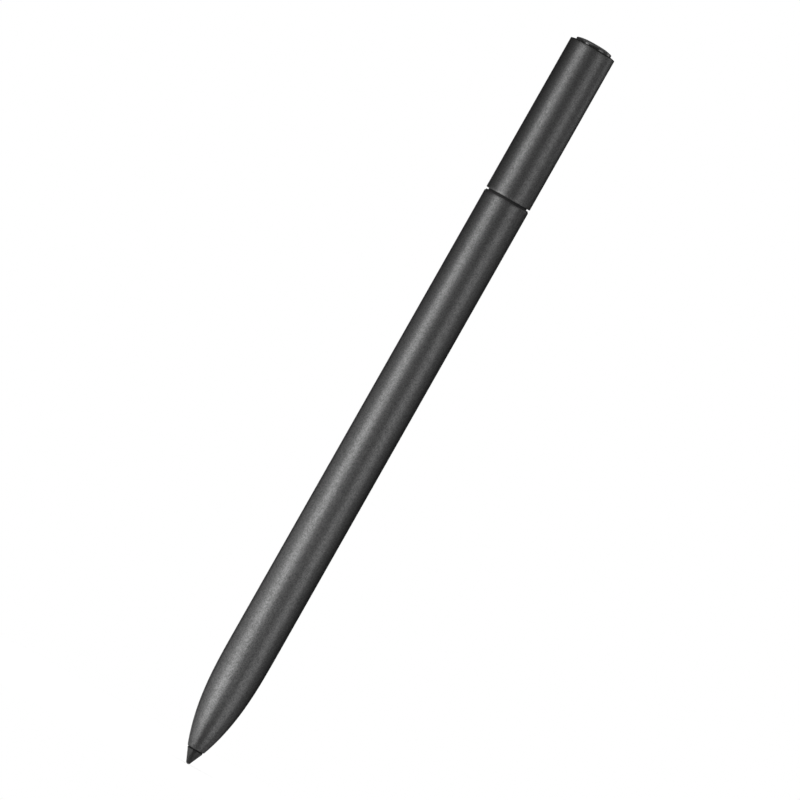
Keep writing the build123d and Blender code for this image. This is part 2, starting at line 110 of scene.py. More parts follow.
# %% Build a tree of nodes
class Finish:
    """A node tree under construction."""

    def __init__(self, tree):
        self.tree = tree
        tree.nodes.clear()

    def node(self, kind, settings, sockets, output=0):
        """Add a node, set it up, and fill its sockets with values or links."""
        made = self.tree.nodes.new(kind)
        for name, value in settings.items():
            setattr(made, name, value)
        for key, value in sockets.items():
            socket = self.find(made.inputs, key)
            if isinstance(value, Wire):
                self.tree.links.new(value.socket, socket)
            else:
                socket.default_value = value
        if len(made.outputs) == 0:
            return None
        return Wire(self, self.find(made.outputs, output))

    def find(self, sockets, key):
        """A socket by its place or by its name."""
        if isinstance(key, int):
            return sockets[key]
        named = (socket for socket in sockets if key in (socket.identifier, socket.name))
        return next(socket for socket in named if socket.enabled)

    def place(self):
        """Object coordinates: metres in the pen's own frame."""
        return self.node("ShaderNodeTexCoord", {}, {}, "Object")

    def along(self, vector, axis):
        """One coordinate of a vector, as X, Y or Z."""
        return self.node("ShaderNodeSeparateXYZ", {}, {"Vector": vector}, axis)

    def stretched(self, vector, scale):
        """Coordinates stretched by a scale on each axis."""
        return self.node("ShaderNodeMapping", {}, {"Vector": vector, "Scale": scale}, "Vector")

    def noise(self, vector, size, detail, rough=0.5):
        """Soft noise whose lumps are about a size across, in metres."""
        values = {"Vector": vector, "Scale": 1.0 / size, "Detail": detail, "Roughness": rough}
        return self.node("ShaderNodeTexNoise", {}, values, "Fac")

    def cells(self, vector, size, feature="F1", output="Distance"):
        """Cells about a size across, in metres."""
        values = {"Vector": vector, "Scale": 1.0 / size}
        return self.node("ShaderNodeTexVoronoi", {"feature": feature}, values, output)

    def ramp(self, value, low, high, start=0.0, end=1.0):
        """A value between two levels, turned into one between a start and an end."""
        values = {"Value": value, "From Min": low, "From Max": high, "To Min": start, "To Max": end}
        return self.node("ShaderNodeMapRange", {}, values, "Result")

    def zigzag(self, value, height):
        """A value folded to and fro between zero and a height."""
        return self.node("ShaderNodeMath", {"operation": "PINGPONG"}, {0: value, 1: height})

    def mix(self, factor, first, second):
        """A colour between two colours."""
        settings = {"data_type": "RGBA", "clamp_factor": True}
        sockets = {"Factor_Float": factor, "A_Color": first, "B_Color": second}
        return self.node("ShaderNodeMix", settings, sockets, "Result_Color")

    def bump(self, height, depth, strength=1.0):
        """A bumped normal. The depth is that of the full height, in metres."""
        values = {"Height": height, "Distance": depth, "Strength": strength}
        return self.node("ShaderNodeBump", {}, values, "Normal")

    def shade(self, sockets):
        """End the finish in one Principled shader."""
        shader = self.node("ShaderNodeBsdfPrincipled", {}, sockets, "BSDF")
        self.node("ShaderNodeOutputMaterial", {}, {"Surface": shader})


def grey(level):
    """A neutral colour."""
    return (level, level, level, 1.0)


def new_finish(name):
    """A material with an empty tree."""
    material = bpy.data.materials.new(name)
    material.use_nodes = True
    return material, Finish(material.node_tree)


print("shader maths ready")

# %% [markdown]
# ## The blasted metal
# Barrel, cap and side keys are aluminium, blasted with fine beads and dyed dark grey. Close up it is a
# field of tiny dents that glint one by one; from afar the glints melt into a soft satin band. A rough,
# dark metal gives the band. The glints are fine cells, about as small as the real grain, in the colour and
# the roughness, over a shallow bump of fine noise. A grey tint darkens it at grazing angles, as dye does.

# %% Dark anodised metal
# The pen's sizes are in millimetres, and times MM they are Blender's metres. The studio's are in metres.
MM = 0.001
GRAIN = 0.14


def blasted_metal():
    material, look = new_finish("blasted_metal")
    place = look.place()
    facet = look.along(look.cells(place, GRAIN * MM, output="Color"), "X")
    dent = look.noise(place, GRAIN * MM, detail=1.0)
    cloud = look.noise(place, size=9.0 * MM, detail=2.0)
    base = look.mix(0.8 * facet + 0.2 * cloud, grey(0.075), grey(0.175))
    look.shade({
        "Base Color": base,
        "Metallic": 1.0,
        "Roughness": 0.47 - 0.10 * facet,
        "Specular Tint": grey(0.35),
        "Normal": look.bump(dent, depth=0.010 * MM, strength=0.6),
    })
    return material


metal = blasted_metal()
print("finish:", metal.name)

# %% [markdown]
# ## The black plastics
# The nib is a matt, slightly waxy plastic that wears as it is drawn over glass. Its neck, which shows in
# the gap under the nose's mouth, is painted near black and matt: painted shade for that gap. The end button
# is moulded glossy. The stem under the cap has the fine sparked texture of a moulding tool. All three are
# black, so what tells them apart is the gloss: each has its own roughness pattern, and the two matt ones a
# small bump.

# %% Three kinds of black
NIB_WEAR = 1.2
# Height above which the nib's neck carries painted shade.
NECK_SHADE = 2.915
CLEAN_SHARE = 0.985


def nib_plastic():
    material, look = new_finish("nib_plastic")
    place = look.place()
    fine = look.noise(place, size=0.12 * MM, detail=3.0, rough=0.6)
    scuff = look.noise(look.stretched(place, (1.0, 1.0, 0.25)), size=0.3 * MM, detail=3.0)
    height = look.along(place, "Z")
    worn = 1.0 - look.ramp(height, 0.0, NIB_WEAR * MM)
    # Painted shade: above NECK_SHADE the neck is near black and matt, for the dark gap under the nose.
    neck_painted_shade = height > NECK_SHADE * MM
    base = look.mix(fine, grey(0.009), grey(0.016))
    base = look.mix(worn * scuff * 0.5, base, grey(0.04))
    base = look.mix(neck_painted_shade, base, grey(0.003))
    rough = 0.36 + (fine - 0.5) * 0.16 - worn * 0.05 + neck_painted_shade * 0.55
    normal = look.bump(fine, depth=0.004 * MM, strength=0.5)
    look.shade({"Base Color": base, "Roughness": rough, "Normal": normal})
    return material


def button_plastic():
    material, look = new_finish("button_plastic")
    place = look.place()
    haze = look.noise(place, size=1.4 * MM, detail=3.0)
    dust = look.cells(place, size=0.35 * MM, output="Color")
    speck = (look.along(dust, "X") > CLEAN_SHARE) * 0.12
    base = look.mix(haze, grey(0.016), grey(0.024))
    base = look.mix(speck, base, grey(0.2))
    rough = 0.12 + haze * 0.08 + speck
    look.shade({"Base Color": base, "Roughness": rough, "Specular IOR Level": 1.0})
    return material


def stem_plastic():
    material, look = new_finish("stem_plastic")
    place = look.place()
    spark = look.noise(place, size=0.15 * MM, detail=3.0, rough=0.65)
    cloud = look.noise(place, size=3.0 * MM, detail=2.0)
    base = look.mix(0.7 * spark + 0.3 * cloud, grey(0.006), grey(0.016))
    rough = 0.62 + (spark - 0.5) * 0.25
    normal = look.bump(spark, depth=0.006 * MM, strength=0.6)
    look.shade({"Base Color": base, "Roughness": rough, "Normal": normal})
    return material


nib_black = nib_plastic()
button_black = button_plastic()
stem_black = stem_plastic()
print("finishes:", nib_black.name, button_black.name, stem_black.name)

# %% [markdown]
# ## Working on the bench
# Almost every visible piece of the pen was turned or drawn, so it is round about one axis. It could be a
# spun line, but a ring that is extruded from corner to corner and scaled each time works the same way by
# hand, keeps its edge rings where they are wanted, and needs no seam to be closed.

# %% Hold one piece at a time
def clear_bench():
    """Let go of everything, because an operator acts on all that is selected."""
    if bpy.context.mode != "OBJECT":
        bpy.ops.object.mode_set(mode="OBJECT")
    bpy.ops.object.select_all(action="DESELECT")


def take(piece):
    """Select one piece alone and make it the active one."""
    clear_bench()
    piece.select_set(True)
    bpy.context.view_layer.objects.active = piece


def start_piece(name):
    """Name the primitive that was just added, and put its place into its mesh."""
    piece = bpy.context.active_object
    piece.name = name
    piece.data.name = name
    bpy.ops.object.transform_apply(location=True, rotation=True, scale=True)
    return piece


print("bench ready")

# %% Turn a profile
TURN_STEPS = 160
WELD = 0.001


def close_mesh():
    """Weld doubled corners and point every face outwards. The piece is in edit mode."""
    bpy.ops.mesh.select_mode(type="VERT")
    bpy.ops.mesh.select_all(action="SELECT")
    bpy.ops.mesh.remove_doubles(threshold=WELD * MM)
    bpy.ops.mesh.normals_make_consistent(inside=False)


def turn(name, profile, solid=False):
    """Turn a profile of (radius, height) corners in millimetres into a closed ring.

    A solid one starts on a flat end and ends on the axis instead.
    """
    clear_bench()
    radius, height = profile[0]
    fill = "NGON" if solid else "NOTHING"
    place = (0, 0, height * MM)
    bpy.ops.mesh.primitive_circle_add(vertices=TURN_STEPS, radius=radius * MM, location=place, fill_type=fill)
    piece = start_piece(name)
    bpy.ops.object.mode_set(mode="EDIT")
    bpy.ops.mesh.select_all(action="SELECT")
    corners = profile[1:] if solid else profile[1:] + profile[:1]
    for next_radius, next_height in corners:
        step = (0, 0, (next_height - height) * MM)
        bpy.ops.mesh.extrude_edges_move(TRANSFORM_OT_translate={"value": step})
        grow = next_radius / radius
        bpy.ops.transform.resize(value=(grow, grow, 1), center_override=(0, 0, next_height * MM))
        radius, height = next_radius, next_height
    close_mesh()
    bpy.ops.object.mode_set(mode="OBJECT")
    return piece


print("corners round a turned piece:", TURN_STEPS)

# %% Pick edges and round them
RING_REACH = 0.004
HIDDEN_STEPS = 2
SMALL_STEPS = 3
CLEAR_STEPS = 4
BOLD_STEPS = 5


def pick(piece, kind, wanted):
    """Select the corners, edges or faces that a test picks. The piece is in edit mode."""
    bpy.ops.mesh.select_mode(type=kind)
    bpy.ops.mesh.select_all(action="DESELECT")
    mesh = bmesh.from_edit_mesh(piece.data)
    kinds = {"VERT": mesh.verts, "EDGE": mesh.edges, "FACE": mesh.faces}
    for part in kinds[kind]:
        if wanted(part):
            part.select_set(True)
    bmesh.update_edit_mesh(piece.data)


def round_edges(piece, wanted, width, steps):
    """Round the edges that a test picks, by a width in millimetres. The piece is in edit mode."""
    pick(piece, "EDGE", wanted)
    bpy.ops.mesh.bevel(offset=width * MM, segments=steps, affect="EDGES")


def round_rings(piece, rings):
    """Round rings of edges, each given as (radius, height, width of the round, steps)."""
    take(piece)
    bpy.ops.object.mode_set(mode="EDIT")
    for radius, height, width, steps in rings:
        def on_ring(corner):
            away = hypot(corner.co.x, corner.co.y) / MM - radius
            return abs(away) < RING_REACH and abs(corner.co.z / MM - height) < RING_REACH

        round_edges(piece, lambda edge: all(on_ring(corner) for corner in edge.verts), width, steps)
    bpy.ops.object.mode_set(mode="OBJECT")


print("a ring is found within", RING_REACH, "mm")

# %% [markdown]
# ## The barrel
# The barrel is one drawn tube: straight for most of its length, with a nose that closes in along one long
# curve. The curve meets the straight side without a crease, which is what makes the nose look like a
# bullet. Inside, the wall follows, and the mouth is bored out so that the nib's neck goes in without a gap
# to see through. The rings are close together where the key slot is cut, so that the cut is clean, and a
# holding ring stands beside the rounded end, so that the round doesn't bend the long side's shading.

# %% Turn the barrel
BODY_RADIUS = 4.749
BARREL_WALL = 0.72
BARREL_BORE = BODY_RADIUS - BARREL_WALL
BARREL_END = 123.40
BARREL_ROUND = 0.09
BORE_ROUND = 0.08
GROOVE_WIDTH = 0.58
MOUTH_HEIGHT = 3.22
MOUTH_RADIUS = 1.78
MOUTH_ROUND = 0.07
MOUTH_BORE = 1.61
MOUTH_BORE_ROUND = 0.02
MOUTH_FLOOR = 3.66
NOSE_END = 26.0
NOSE_FULLNESS = 2.87
NOSE_STEPS = 26
HOLD = 0.6
SLOT_MIDDLE = 47.02
SLOT_LENGTH = 24.0
SLOT_WIDTH = 3.2
SLOT_MARGIN = 2


def nose_radius(height):
    """Outer radius of the nose at a height."""
    below = (NOSE_END - height) / (NOSE_END - MOUTH_HEIGHT)
    return BODY_RADIUS - (BODY_RADIUS - MOUTH_RADIUS) * below ** NOSE_FULLNESS


def nose_curve(bottom, wall):
    """Corners up the nose, set in by a wall, from a height to where the barrel runs straight."""
    heights = [bottom + (NOSE_END - bottom) * step / NOSE_STEPS for step in range(NOSE_STEPS + 1)]
    return [(nose_radius(height) - wall, height) for height in heights]


slot_reach = SLOT_LENGTH / 2 + SLOT_MARGIN
slot_rings = [SLOT_MIDDLE - slot_reach + step for step in range(round(2 * slot_reach) + 1)]
outside = nose_curve(MOUTH_HEIGHT, 0) + [(BODY_RADIUS, height) for height in slot_rings]
inside = nose_curve(MOUTH_FLOOR, BARREL_WALL) + [(BARREL_BORE, height) for height in slot_rings]
barrel_profile = (
    [(MOUTH_BORE, MOUTH_FLOOR), (MOUTH_BORE, MOUTH_HEIGHT)]
    + outside
    + [(BODY_RADIUS, BARREL_END - HOLD), (BODY_RADIUS, BARREL_END)]
    + [(BARREL_BORE, BARREL_END), (BARREL_BORE, BARREL_END - HOLD)]
    + inside[::-1]
)
barrel = turn("barrel_shell", barrel_profile)
round_rings(barrel, [
    (BODY_RADIUS, BARREL_END, BARREL_ROUND, CLEAR_STEPS),
    (BARREL_BORE, BARREL_END, BORE_ROUND, HIDDEN_STEPS),
    (MOUTH_RADIUS, MOUTH_HEIGHT, MOUTH_ROUND, CLEAR_STEPS),
    (MOUTH_BORE, MOUTH_HEIGHT, MOUTH_BORE_ROUND, HIDDEN_STEPS),
])
print(barrel.name, "runs from", MOUTH_HEIGHT, "to", BARREL_END, "mm")

# %% [markdown]
# ## The key slot
# The two side keys share one long slot with round ends. A cylinder that is laid across the pen and pulled
# apart at its middle is a bar with round ends, and a Boolean takes it out of the barrel. The same bar, at
# other sizes, serves for the keys and for the charging socket later on.

# %% Make bars and cut with them
END_STEPS = 62
CUT_REACH = 7


def bar(name, length, width, middle, back, front):
    """A bar with round ends, lying across the pen along Y between two levels. All in millimetres."""
    clear_bench()
    bpy.ops.mesh.primitive_cylinder_add(
        vertices=END_STEPS,
        radius=width / 2 * MM,
        depth=(front - back) * MM,
        location=(0, (back + front) / 2 * MM, middle * MM),
        rotation=(pi / 2, 0, 0),
    )
    piece = start_piece(name)
    bpy.ops.object.mode_set(mode="EDIT")
    pull = (length - width) / 2 * MM
    pick(piece, "VERT", lambda corner: corner.co.z / MM > middle)
    bpy.ops.transform.translate(value=(0, 0, pull))
    pick(piece, "VERT", lambda corner: corner.co.z / MM < middle)
    bpy.ops.transform.translate(value=(0, 0, -pull))
    close_mesh()
    bpy.ops.object.mode_set(mode="OBJECT")
    return piece


def combine(piece, tool, operation):
    """Cut, join or overlap a piece with a tool, which is used up."""
    take(piece)
    bpy.ops.object.modifier_add(type="BOOLEAN")
    modifier = piece.modifiers[-1]
    modifier.operation = operation
    modifier.solver = "EXACT"
    modifier.object = tool
    bpy.ops.object.modifier_apply(modifier=modifier.name)
    bpy.data.objects.remove(tool)


combine(barrel, bar("slot_tool", SLOT_LENGTH, SLOT_WIDTH, SLOT_MIDDLE, 0, CUT_REACH), "DIFFERENCE")
print("slot:", SLOT_LENGTH, "by", SLOT_WIDTH, "mm")

# %% Hand over the barrel
SHARP = radians(32)


def hand_over(piece, body, slot, finish, *nodes):
    """Weld and smooth a finished piece, dress it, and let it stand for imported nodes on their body."""
    take(piece)
    bpy.ops.object.mode_set(mode="EDIT")
    close_mesh()
    bpy.ops.object.mode_set(mode="OBJECT")
    bpy.ops.object.shade_smooth_by_angle(angle=SHARP)
    piece.data.materials.clear()
    piece.data.materials.append(finish)
    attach(piece, body)
    if nodes:
        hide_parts(*nodes)
    print(piece.name, "faces:", len(piece.data.polygons))


hand_over(barrel, "barrel", "anodised_aluminium", metal, "barrel")

# %% [markdown]
# ## The side keys
# Each key is one half of a bar that fills the slot, crowned to a slightly larger round than the barrel, so
# that a thumb finds it. Below the wall it spreads into a flange that keeps it in, with a small foot for the
# switch. The halves are bisected, the crown is the overlap with a round rod, and the rim is bevelled. Cuts
# across the key, close together, keep the rim's round from bending the shading of the whole crown.

# %% Shape half a bar
KEY_GAP = 0.1
KEY_SPLIT = 0.3
KEY_FOOT_HEIGHT = 0.6
KEY_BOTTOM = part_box("front_key")[0].y / MM + KEY_FOOT_HEIGHT
CROWN_REACH = 20
CROWN_STEPS = 240
key_length = SLOT_LENGTH - 2 * KEY_GAP
key_width = SLOT_WIDTH - 2 * KEY_GAP


def rod(name, radius, bottom, top):
    """A round rod on the pen's axis, as a tool."""
    clear_bench()
    bpy.ops.mesh.primitive_cylinder_add(
        vertices=CROWN_STEPS,
        radius=radius * MM,
        depth=(top - bottom) * MM,
        location=(0, 0, (bottom + top) / 2 * MM),
    )
    return start_piece(name)


def half_bar(name, end, spread, round_radius):
    """One key's half of the bar, spread all round but at the split, and crowned to a round."""
    piece = bar(name, key_length + 2 * spread, key_width + 2 * spread, SLOT_MIDDLE, KEY_BOTTOM, CUT_REACH)
    bpy.ops.object.mode_set(mode="EDIT")
    bpy.ops.mesh.select_all(action="SELECT")
    cut = (0, 0, (SLOT_MIDDLE + end * KEY_SPLIT / 2) * MM)
    bpy.ops.mesh.bisect(plane_co=cut, plane_no=(0, 0, end), use_fill=True, clear_inner=True)
    bpy.ops.object.mode_set(mode="OBJECT")
    crown = rod("crown_tool", round_radius, SLOT_MIDDLE - CROWN_REACH, SLOT_MIDDLE + CROWN_REACH)
    combine(piece, crown, "INTERSECT")
    return piece


print("a key is", round((key_length - KEY_SPLIT) / 2, 2), "by", round(key_width, 2), "mm")

# %% Model the keys
KEY_RISE = 0.199
KEY_ROUND = 0.1
KEY_CUT = 0.3
KEY_FLANGE = 0.5
KEY_FLANGE_GAP = 0.05
KEY_FOOT_RADIUS = 0.6
KEY_FOOT_OVERLAP = 0.3
EDGE_REACH = 0.01
CREASE = radians(40)


def side_key(name, node, end):
    """A side key. The end is -1 towards the nib, else 1."""
    key = half_bar(name, end, 0, BODY_RADIUS + KEY_RISE)
    take(key)
    bpy.ops.object.mode_set(mode="EDIT")
    for step in range(1, round(key_length / 2 / KEY_CUT)):
        bpy.ops.mesh.select_all(action="SELECT")
        cut = (0, 0, (SLOT_MIDDLE + end * step * KEY_CUT) * MM)
        bpy.ops.mesh.bisect(plane_co=cut, plane_no=(0, 0, 1))

    def on_rim(edge):
        level = min(hypot(corner.co.x, corner.co.y) for corner in edge.verts) / MM
        return level > BODY_RADIUS + KEY_RISE - EDGE_REACH and edge.calc_face_angle(0) > CREASE

    round_edges(key, on_rim, KEY_ROUND, SMALL_STEPS)
    bpy.ops.object.mode_set(mode="OBJECT")
    combine(key, half_bar("flange_tool", end, KEY_FLANGE, BARREL_BORE - KEY_FLANGE_GAP), "UNION")
    foot_width = 2 * KEY_FOOT_RADIUS
    foot_middle = SLOT_MIDDLE + end * (key_length + KEY_SPLIT) / 4
    foot_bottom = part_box(node)[0].y / MM
    foot_top = KEY_BOTTOM + KEY_FOOT_OVERLAP
    combine(key, bar("foot_tool", foot_width, foot_width, foot_middle, foot_bottom, foot_top), "UNION")
    hand_over(key, node, "anodised_aluminium", metal, node)


side_key("front_side_key", "front_key", -1)
side_key("rear_side_key", "rear_key", 1)

# %% [markdown]
# ## The nib
# The nib is a short cone with a ball for a point, a little slimmer at its base than the mouth of the nose. A
# neck goes into the mouth and leaves the nib a hair of travel, and a thin shaft runs on into the holder. The
# ball's arc meets the cone where both have one tangent, so no ring shows on the point.

# %% Turn the nib
NIB_TIP = 0.5
NIB_BASE = 1.62
NIB_HEIGHT = 2.92
NIB_ROUND = 0.06
NECK_GAP = 0.03
NECK_RADIUS = MOUTH_BORE - NECK_GAP
NECK_TRAVEL = 0.26
NECK_TOP = MOUTH_FLOOR - NECK_TRAVEL
NIB_SHAFT = 0.75
SHAFT_CHAMFER = 0.2
NIB_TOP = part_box("nib")[1].z / MM
TIP_STEPS = 10

reach = hypot(NIB_BASE, NIB_HEIGHT - NIB_TIP)
lean = atan2(NIB_BASE, NIB_HEIGHT - NIB_TIP) - asin(NIB_TIP / reach)
turns = [(pi / 2 - lean) * step / TIP_STEPS for step in range(TIP_STEPS, 0, -1)]
ball = [(NIB_TIP * sin(angle), NIB_TIP * (1 - cos(angle))) for angle in turns]
nib_profile = [
    (NIB_SHAFT - SHAFT_CHAMFER, NIB_TOP),
    (NIB_SHAFT, NIB_TOP - SHAFT_CHAMFER),
    (NIB_SHAFT, NECK_TOP),
    (NECK_RADIUS, NECK_TOP),
    (NECK_RADIUS, NIB_HEIGHT),
    (NIB_BASE, NIB_HEIGHT),
] + ball + [(0, 0)]
nib = turn("writing_nib", nib_profile, solid=True)
round_rings(nib, [(NIB_BASE, NIB_HEIGHT, NIB_ROUND, SMALL_STEPS)])
hand_over(nib, "nib", "nib_plastic", nib_black, "nib")

# %% [markdown]
# ## The stem
# The stem is the black moulding that plugs the barrel's end and carries the cap. At rest only its low
# collar and a thin black step on the barrel's end show, as the floor and the lower side of the dark groove.
# When the cap is up, its socket pocket shows on one side and the cap's track on the other, so the pockets
# are cut in full.

# %% Turn the stem
STEM_RADIUS = 4.0
STEM_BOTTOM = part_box("stem")[0].z / MM
STEM_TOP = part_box("stem")[1].z / MM
STEM_CHAMFER = 0.2
STEM_ROUND = 0.06
SEAL_HEIGHT = 125.35
GROOVE_HALF = 0.3
GROOVE_FLOOR = 3.51
COLLAR_RADIUS = 4.15
COLLAR_RISE = 0.2
COLLAR_TOP = BARREL_END + GROOVE_WIDTH + COLLAR_RISE
COLLAR_SLOPE = 0.15
STEP_RADIUS = 4.6
STEP_HEIGHT = 0.24
STEP_TOP = BARREL_END + STEP_HEIGHT
STEM_BORE = 2.85
STEM_BORE_BOTTOM = 137.07
SWITCH_SEAT = 3.25
SWITCH_DEPTH = 0.5
SWITCH_FLOOR = STEM_TOP - SWITCH_DEPTH
PORT_MIDDLE = 131.0

stem = turn("stem_post", [
    (STEM_RADIUS - STEM_CHAMFER, STEM_BOTTOM),
    (STEM_RADIUS, STEM_BOTTOM + STEM_CHAMFER),
    (STEM_RADIUS, BARREL_END),
    (STEP_RADIUS, BARREL_END),
    (STEP_RADIUS, STEP_TOP),
    (COLLAR_RADIUS, STEP_TOP),
    (COLLAR_RADIUS, COLLAR_TOP),
    (STEM_RADIUS, COLLAR_TOP + COLLAR_SLOPE),
    (STEM_RADIUS, SEAL_HEIGHT - GROOVE_HALF),
    (GROOVE_FLOOR, SEAL_HEIGHT - GROOVE_HALF),
    (GROOVE_FLOOR, SEAL_HEIGHT + GROOVE_HALF),
    (STEM_RADIUS, SEAL_HEIGHT + GROOVE_HALF),
    (STEM_RADIUS, PORT_MIDDLE),
    (STEM_RADIUS, STEM_TOP - STEM_CHAMFER),
    (STEM_RADIUS - STEM_CHAMFER, STEM_TOP),
    (SWITCH_SEAT, STEM_TOP),
    (SWITCH_SEAT, SWITCH_FLOOR),
    (STEM_BORE, SWITCH_FLOOR),
    (STEM_BORE, STEM_BORE_BOTTOM),
    (0, STEM_BORE_BOTTOM),
], solid=True)
round_rings(stem, [
    (STEP_RADIUS, STEP_TOP, STEM_ROUND, HIDDEN_STEPS),
    (STEM_RADIUS, SEAL_HEIGHT - GROOVE_HALF, STEM_ROUND, HIDDEN_STEPS),
    (STEM_RADIUS, SEAL_HEIGHT + GROOVE_HALF, STEM_ROUND, HIDDEN_STEPS),
])
print(stem.name, "stands out of the barrel by", round(STEM_TOP - BARREL_END, 2), "mm")

# %% Cut the stem's pockets
PORT_LENGTH = 8.94
PORT_WIDTH = 3.26
PORT_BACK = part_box("charge_port_shell")[1].y / MM
POCKET_GAP = 0.1
TRACK_HALF = 0.7
TRACK_FLOOR = 3.5
TRACK_BOTTOM = 137.32
TRACK_TOP = 152.42
CHANNEL_HALF = 1.38
CHANNEL_OVERLAP = 0.01
CHANNEL_BACK = 3.03
CHANNEL_BOTTOM = 109
CHANNEL_TOP = 141.47


def block(name, low, high):
    """A block between two corners in millimetres, as a tool."""
    clear_bench()
    size = Vector(high) - Vector(low)
    middle = (Vector(low) + Vector(high)) / 2 * MM
    bpy.ops.mesh.primitive_cube_add(size=MM, location=middle)
    bpy.context.active_object.scale = size
    return start_piece(name)


pocket_length = PORT_LENGTH + POCKET_GAP
pocket_width = PORT_WIDTH + POCKET_GAP
pocket = bar("pocket_tool", pocket_length, pocket_width, PORT_MIDDLE, -CUT_REACH, PORT_BACK)
combine(stem, pocket, "DIFFERENCE")
track = block("track_tool", (-TRACK_HALF, TRACK_FLOOR, TRACK_BOTTOM), (TRACK_HALF, CUT_REACH, TRACK_TOP))
combine(stem, track, "DIFFERENCE")
channel = block(
    "channel_tool",
    (-CHANNEL_HALF, PORT_BACK - CHANNEL_OVERLAP, CHANNEL_BOTTOM),
    (CHANNEL_HALF, CHANNEL_BACK, CHANNEL_TOP),
)
combine(stem, channel, "DIFFERENCE")
hand_over(stem, "barrel", "stem_plastic", stem_black, "stem")

# %% [markdown]
# ## Steel, gold and rubber
# The socket's shell is thin bright steel, drawn from sheet, so its fine lines run along the draw. Its
# contacts are gold over brass. The ring below the socket is black rubber, matt and a little dusty.

# %% Finishes round the socket
def drawn_steel():
    material, look = new_finish("drawn_steel")
    place = look.place()
    lines = look.noise(look.stretched(place, (1.0, 0.06, 1.0)), size=0.05 * MM, detail=3.0, rough=0.6)
    cloud = look.noise(place, size=1.5 * MM, detail=2.0)
    base = look.mix(0.6 * lines + 0.4 * cloud, grey(0.42), (0.66, 0.655, 0.64, 1.0))
    rough = 0.2 + lines * 0.2
    normal = look.bump(lines, depth=0.002 * MM, strength=0.4)
    look.shade({"Base Color": base, "Metallic": 1.0, "Roughness": rough, "Normal": normal})
    return material


def gold_plate():
    material, look = new_finish("gold_plate")
    place = look.place()
    grain = look.noise(place, size=0.06 * MM, detail=3.0)
    base = look.mix(grain, (0.72, 0.48, 0.17, 1.0), (0.86, 0.63, 0.27, 1.0))
    look.shade({"Base Color": base, "Metallic": 1.0, "Roughness": 0.2 + grain * 0.15})
    return material


def seal_rubber():
    material, look = new_finish("seal_rubber")
    place = look.place()
    dust = look.noise(place, size=0.12 * MM, detail=4.0, rough=0.7)
    base = look.mix(dust, grey(0.012), grey(0.035))
    normal = look.bump(dust, depth=0.004 * MM, strength=0.6)
    look.shade({"Base Color": base, "Roughness": 0.6 + dust * 0.25, "Normal": normal})
    return material


steel = drawn_steel()
gold = gold_plate()
rubber = seal_rubber()
print("finishes:", steel.name, gold.name, rubber.name)

# %% [markdown]
# ## The charging socket
# The socket is a flat steel tube with round ends, and in it stands a tongue with two rows of contacts. The
# tube is the same bar as before: both ends are inset, the inner faces are bridged into a bore, and the
# mouth is rounded. One contact is modelled and copied along each side of the tongue.

# %% Model the socket's shell
PORT_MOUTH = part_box("charge_port_shell")[0].y / MM
SHELL_WALL = 0.3
SHELL_ROUND = 0.1
FACING = 0.9
QUAD = 4


def is_end(face):
    """Whether a face looks along Y."""
    return abs(face.normal.y) > FACING


def on_mouth(edge):
    """Whether an edge is a crease at the shell's mouth."""
    at_mouth = all(corner.co.y / MM < PORT_MOUTH + EDGE_REACH for corner in edge.verts)
    return at_mouth and edge.calc_face_angle(0) > CREASE


shell = bar("socket_shell", PORT_LENGTH, PORT_WIDTH, PORT_MIDDLE, PORT_MOUTH, PORT_BACK)
bpy.ops.object.mode_set(mode="EDIT")
pick(shell, "FACE", is_end)
bpy.ops.mesh.inset(thickness=SHELL_WALL * MM, depth=0)
pick(shell, "FACE", lambda face: is_end(face) and len(face.verts) > QUAD)
bpy.ops.mesh.bridge_edge_loops()
close_mesh()
round_edges(shell, on_mouth, SHELL_ROUND, SMALL_STEPS)
bpy.ops.object.mode_set(mode="OBJECT")
hand_over(shell, "barrel", "steel", steel, "charge_port_shell")

# %% Model the tongue
TONGUE_LENGTH = 6.69
TONGUE_THICKNESS = 0.7
TONGUE_ROUND = 0.15
TONGUE_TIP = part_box("charge_port_tongue")[0].y / MM
TONGUE_BASE = 0.8
BASE_GAP = 0.02


def at_tip(edge):
    """Whether an edge lies at the tongue's tip."""
    return all(corner.co.y / MM < TONGUE_TIP + EDGE_REACH for corner in edge.verts)


tongue = block(
    "socket_tongue",
    (-TONGUE_THICKNESS / 2, TONGUE_TIP, PORT_MIDDLE - TONGUE_LENGTH / 2),
    (TONGUE_THICKNESS / 2, PORT_BACK, PORT_MIDDLE + TONGUE_LENGTH / 2),
)
bpy.ops.object.mode_set(mode="EDIT")
round_edges(tongue, at_tip, TONGUE_ROUND, CLEAR_STEPS)
bpy.ops.object.mode_set(mode="OBJECT")
inset = SHELL_WALL + BASE_GAP
base_length = PORT_LENGTH - 2 * inset
base_width = PORT_WIDTH - 2 * inset
base = bar("tongue_base", base_length, base_width, PORT_MIDDLE, PORT_BACK - TONGUE_BASE, PORT_BACK)
combine(tongue, base, "UNION")
hand_over(tongue, "barrel", "inner_plastic", stem_black, "charge_port_tongue")

# %% Model a contact and copy it
CONTACT_COUNT = 12
CONTACT_PITCH = 0.5
CONTACT_WIDTH = 0.26
CONTACT_PROUD = 0.03
CONTACT_SINK = 0.02
CONTACT_ROUND = 0.02
CONTACT_START = 0.5
CONTACT_END = 3.6
tongue_side = TONGUE_THICKNESS / 2


def on_face(edge):
    """Whether an edge stands proud of the tongue's side."""
    return all(corner.co.x / MM > tongue_side for corner in edge.verts)


